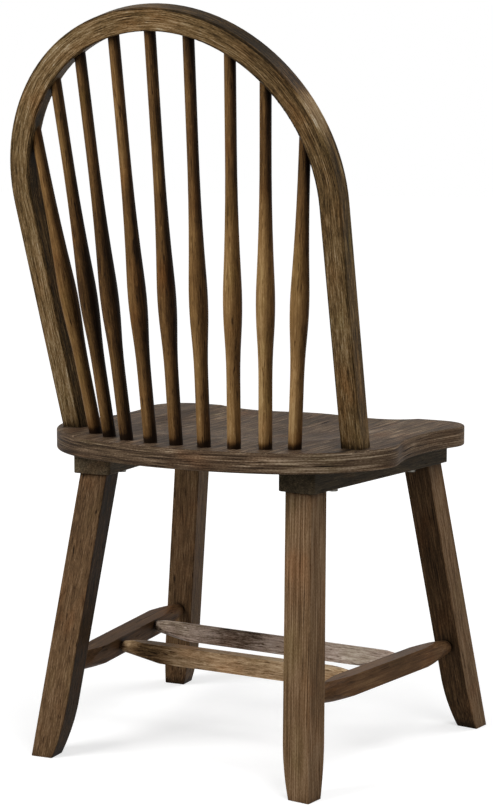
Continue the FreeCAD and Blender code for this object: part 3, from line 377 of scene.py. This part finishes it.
for number, (low, high) in enumerate(SPINDLE_LIFTS, start=1):
    node = "spindle_%d" % number
    middle, along, half = long_axis(node)
    dress(node, wood(
        node + "_stain", lambda tree, m=middle, a=along: straight_grain(tree, m, a),
        number * SPINDLE_SEED, SPINDLE_TONES, growth=0.40, fibre=0.6, pores=0.8, rubs=0.7,
        clouds=0.45, glaze_and_light=spindle_glaze_and_shade(half - SPINDLE_TENON, low, high)))


BOW_HALF_WIDTH = 0.0155
# Places along the bow, from the sitter's left end of the arch: its top, a pale and a dark
# stretch, and a painted highlight
BOW_CROWN = 0.375
BOW_PALE = 0.31
BOW_DARK = 0.62
BOW_HIGHLIGHT = 0.64


def bow_marks_shade_and_highlight(tree, grain):
    """Painted shade on the hoop's inner face and on its outer facet, most at the top, a pale and
    a dark stretch on top, and one painted highlight.
    """
    across = tree.split(grain)[0]
    along = tree.split(grain)[2]
    inner = BOW_RADIUS - BOW_HALF_WIDTH
    outer = BOW_RADIUS + BOW_HALF_WIDTH
    # Painted shade on the hoop's inner face.
    inner_face_shade = tree.ramp(across, inner + 0.0015, inner + 0.0035, -1.2, 0.0)
    # Painted shade on the outer facet, strongest at the crown.
    outside = tree.ramp(across, outer - 0.0035, outer - 0.0015)
    shade_by_crown = tree.ramp(tree.apart(along, BOW_CROWN), 0.28, 0.16, -0.45, -1.7)
    outer_facet_shade = tree.math("MULTIPLY", outside, shade_by_crown)
    pale = tree.ramp(tree.apart(along, BOW_PALE), 0.20, 0.05, 0.0, 0.4)
    dark = tree.ramp(tree.apart(along, BOW_DARK), 0.24, 0.10, 0.0, -0.6)
    # A painted highlight on the outer facet at one place on the sitter's right shoulder.
    highlight_along = tree.ramp(tree.apart(along, BOW_HIGHLIGHT), 0.045, 0.010, 0.0, 1.8)
    outward = tree.ramp(across, outer - 0.0045, outer - 0.0005)
    painted_highlight = tree.math("MULTIPLY", outward, highlight_along)
    return tree.add(inner_face_shade, outer_facet_shade, pale, dark, painted_highlight)


dress("bow", wood(
    "bow_stain", bow_grain, BOW_SEED, BOW_TONES, growth=0.6, fibre=1.3, pores=0.8, rubs=0.5,
    clouds=0.4, dash=38, glaze_and_light=bow_marks_shade_and_highlight, lift=-0.2, roughness=0.48, gloss=0.02))


def leg_inner_shade(side, end):
    """Painted shade on the faces turned towards the chair's middle."""
    def change(tree, grain):
        inward = Vector((-side, -end, 0)).normalized()
        # Painted shade: the faces turned inwards are darkened.
        return tree.ramp(turned_to(tree, inward), 0.2, 0.7, 0.0, -1.4)
    return change


# Side is 1 on the sitter's left and -1 on the right, and end is 1 at the back and -1 in front
for count, (node, side, end, lift, lines, dash) in enumerate((
    ("leg_rear_left", 1, 1, -0.4, 0.22, 60),
    ("leg_rear_right", -1, 1, 0.25, 0.45, 13),
    ("leg_front_left", 1, -1, 1.0, 0.30, 40),
    ("leg_front_right", -1, -1, 0.15, 0.35, 30),
)):
    middle, along, half = long_axis(node)
    dress(node, wood(
        node + "_stain", lambda tree, m=middle, a=along: straight_grain(tree, m, a),
        LEG_SEED + count * PIECE_STEP, LEG_TONES, growth=lines, fibre=0.9, pores=0.9, rubs=0.6,
        clouds=0.28, dash=dash, lift=lift, glaze_and_light=leg_inner_shade(side, end)))


def front_cross_dark_and_sheen(tree, grain):
    """A darker stretch left of the middle, and painted sheen as a lighter stretch on the right.
    """
    along = tree.split(grain)[2]
    darker_left = tree.ramp(tree.apart(along, 0.05), 0.02, 0.06, -1.0, 0.0)
    # Painted sheen: the stretch towards the right end is made lighter.
    return tree.add(darker_left, tree.ramp(along, -0.03, -0.08, 0.0, 0.8))


def rear_cross_darkening(tree, grain):
    """A darker stretch short of the left end."""
    along = tree.split(grain)[2]
    return tree.ramp(tree.apart(along, 0.14), 0.01, 0.05, -1.5, 0.0)


# marks says how strong all the marks of a piece's wood are
for count, (node, tones, lift, marks, dash, glaze_and_light) in enumerate((
    ("side_stretcher_left", SIDE_TONES, -0.3, 0.5, 24, None),
    ("side_stretcher_right", SIDE_TONES, -0.2, 0.5, 24, None),
    ("cross_stretcher_rear", REAR_CROSS_TONES, 0.05, 0.8, 70, rear_cross_darkening),
    ("cross_stretcher_front", FRONT_CROSS_TONES_WITH_SHEEN, 0.2, 0.85, 60, front_cross_dark_and_sheen),
    # The left cleat's greater lift is painted sheen.
    ("cleat_left", CLEAT_TONES_WITH_SHADE, 1.0, 0.8, 42, None),
    ("cleat_right", CLEAT_TONES_WITH_SHADE, 0.4, 0.8, 42, None),
)):
    middle, along, half = long_axis(node)
    dress(node, wood(
        node + "_stain", lambda tree, m=middle, a=along: straight_grain(tree, m, a, UP),
        RAIL_SEED + count * PIECE_STEP, tones, growth=0.7 * marks, fibre=1.2 * marks,
        pores=1.1 * marks, rubs=1.1 * marks, clouds=0.5, lift=lift, dash=dash, glaze_and_light=glaze_and_light))


SEAT_TOP = 0.457
# The radius at which a turn round the seat is measured as a length of its rim
SEAT_ROUND = 0.22


def seat_grain(tree):
    """Grain from back to front on the seat's faces, and round its rim on the edge."""
    flat = straight_grain(tree, Vector((0, 0, SEAT_TOP)), Vector((0, 1, 0)))
    here = tree.node("ShaderNodeTexCoord").outputs["Object"]
    x, y, z = tree.split(here)
    around = tree.math("MULTIPLY", tree.math("ARCTAN2", x, y), SEAT_ROUND)
    rim = tree.join(z, 0.0, around)
    level = tree.math("ABSOLUTE", turned_to(tree, UP))
    share = tree.ramp(level, 0.8, 0.5)
    return tree.node(
        "ShaderNodeMix", {"Factor": share, "A": flat, "B": rim},
        data_type="VECTOR").outputs["Result"]


def seat_edge_side_light(tree, grain):
    """Painted light on the seat's edge towards the sitter's right, and painted shade towards the
    left.
    """
    level = tree.math("ABSOLUTE", turned_to(tree, UP))
    upright = tree.ramp(level, 0.8, 0.4)
    x = tree.split(tree.node("ShaderNodeTexCoord").outputs["Object"])[0]
    # Painted light and shade: the upright edge darkens towards the sitter's left and lightens
    # towards the right.
    return tree.math("MULTIPLY", upright, tree.ramp(x, 0.2, -0.2, -0.25, 0.4))


dress("seat", wood(
    "seat_stain", seat_grain, SEAT_SEED, SEAT_TONES, growth=0.85, fibre=1.5, pores=1.2,
    rubs=0.8, clouds=0.7, dash=20, glaze_and_light=seat_edge_side_light, lift=-0.05, roughness=0.58, gloss=0.03))

dress("leg_dowels", wood(
    "dowel_wood", lambda tree: straight_grain(tree, Vector((0, 0, 0)), UP), DOWEL_SEED,
    DOWEL_TONES))


PLATING_CLOUD = (260, 260, 260)
PLATING_SEED = 2.3


def plated(name, tint, roughness):
    """Dull plating with faint clouds."""
    material = bpy.data.materials.new(name)
    material.use_nodes = True
    tree = Tree(material)
    here = tree.node("ShaderNodeTexCoord").outputs["Object"]
    cloud = tree.noise(stretched(tree, here, *PLATING_CLOUD), PLATING_SEED, detail=3.0)
    worn = (tint[0] * 0.5, tint[1] * 0.48, tint[2] * 0.45, 1.0)
    colour = tree.mix(tree.ramp(cloud, 0.35, 0.7), tint, worn)
    rough = tree.math("MULTIPLY_ADD", cloud, 0.3, roughness)
    shader = tree.node(
        "ShaderNodeBsdfPrincipled", {"Base Color": colour, "Metallic": 1.0, "Roughness": rough})
    tree.surface(shader)
    return material


dress("cleat_bolts", plated("bolt_plating", rgb(120, 118, 112), 0.3))
dress("cleat_washers", plated("washer_plating", rgb(150, 148, 142), 0.3))
dress("threaded_inserts", plated("insert_plating", rgb(170, 150, 100), 0.35))


# Floor, light and camera

# How far from the chair's middle the floor starts and ends its change towards white
GLOW_NEAR = 0.5
GLOW_FAR = 2.6


def white_ground():
    """Pale paper that keeps the shadow near the chair and turns white further off."""
    material = bpy.data.materials.new("studio_floor")
    material.use_nodes = True
    tree = Tree(material)
    here = tree.node("ShaderNodeTexCoord").outputs["Object"]
    away = tree.node("ShaderNodeVectorMath", {0: here}, operation="LENGTH").outputs["Value"]
    glow_by_place = tree.ramp(away, GLOW_NEAR, GLOW_FAR, 0.60, 0.93)
    lift = tree.math("MULTIPLY", tree.seen(), glow_by_place)
    paper = tree.node("ShaderNodeBsdfDiffuse", {"Color": (0.55, 0.55, 0.55, 1.0)})
    glow = tree.node("ShaderNodeEmission", {"Color": (1, 1, 1, 1), "Strength": lift})
    both = tree.node("ShaderNodeAddShader")
    tree.tree.links.new(paper.outputs[0], both.inputs[0])
    tree.tree.links.new(glow.outputs[0], both.inputs[1])
    tree.surface(both)
    return material


FLOOR = 30.0
FLOOR_HEIGHT = -0.0005
floor_mesh = bpy.data.meshes.new("floor")
floor_mesh.from_pydata(
    [(x, y, FLOOR_HEIGHT) for x, y in (
        (-FLOOR, -FLOOR), (FLOOR, -FLOOR), (FLOOR, FLOOR), (-FLOOR, FLOOR))],
    [], [(0, 1, 2, 3)])
floor = bpy.data.objects.new("floor", floor_mesh)
bpy.context.scene.collection.objects.link(floor)
floor_mesh.materials.append(white_ground())

world = bpy.data.worlds.new("studio")
bpy.context.scene.world = world
world.use_nodes = True
sky = Tree(world)
# The backdrop is white where it is seen, and lights the chair at this level
AMBIENT = 0.2
strength = sky.math("MULTIPLY_ADD", sky.seen(), 1.0 - AMBIENT, AMBIENT)
backdrop = sky.node("ShaderNodeBackground", {"Color": (1, 1, 1, 1), "Strength": strength})
sky.surface(backdrop, "ShaderNodeOutputWorld")

AIM = Vector((0, 0, 0.5))


def softbox(name, direction, distance, width, height, power):
    """A soft light that faces the chair's middle."""
    light = bpy.data.lights.new(name, "AREA")
    light.shape = "RECTANGLE"
    light.size = width
    light.size_y = height
    light.energy = power
    lamp = bpy.data.objects.new(name, light)
    bpy.context.scene.collection.objects.link(lamp)
    away = Vector(direction).normalized()
    lamp.location = AIM + away * distance
    lamp.rotation_euler = away.to_track_quat("Z", "Y").to_euler()


softbox("key", (0.47, 0.72, 0.50), distance=2.6, width=1.2, height=1.6, power=54)
softbox("rim", (-0.42, -0.56, 0.71), distance=2.4, width=1.1, height=1.1, power=24)
softbox("fill", (-0.60, 0.40, 0.69), distance=2.4, width=1.2, height=1.2, power=26)

# The camera is fitted to the photograph, whose size is given in pixels
PHOTO_WIDTH = 493
PHOTO_HEIGHT = 809
FOCAL_PIXELS = 2063.751
CENTRE_X = 245.972
CENTRE_Y = 419.22
CAMERA_PLACE = Vector((-1.45793, 2.52369, 0.85567))
azimuth = math.radians(209.877)
elevation = math.radians(7.506)
roll = math.radians(-0.062)
back = Vector((
    math.sin(azimuth) * math.cos(elevation), -math.cos(azimuth) * math.cos(elevation),
    math.sin(elevation)))
level = (-back).cross(UP).normalized()
upright = level.cross(-back)
right = level * math.cos(roll) + upright * math.sin(roll)
above = upright * math.cos(roll) - level * math.sin(roll)
camera = bpy.data.cameras.new("camera")
camera.lens = FOCAL_PIXELS / PHOTO_HEIGHT * camera.sensor_width
camera.shift_x = (PHOTO_WIDTH / 2 - CENTRE_X) / PHOTO_HEIGHT
camera.shift_y = (CENTRE_Y - PHOTO_HEIGHT / 2) / PHOTO_HEIGHT
viewer = bpy.data.objects.new("camera", camera)
bpy.context.scene.collection.objects.link(viewer)
turned = Matrix((right, above, back)).transposed().to_4x4()
viewer.matrix_world = Matrix.Translation(CAMERA_PLACE) @ turned
bpy.context.scene.camera = viewer
bpy.context.scene.view_settings.view_transform = "Standard"
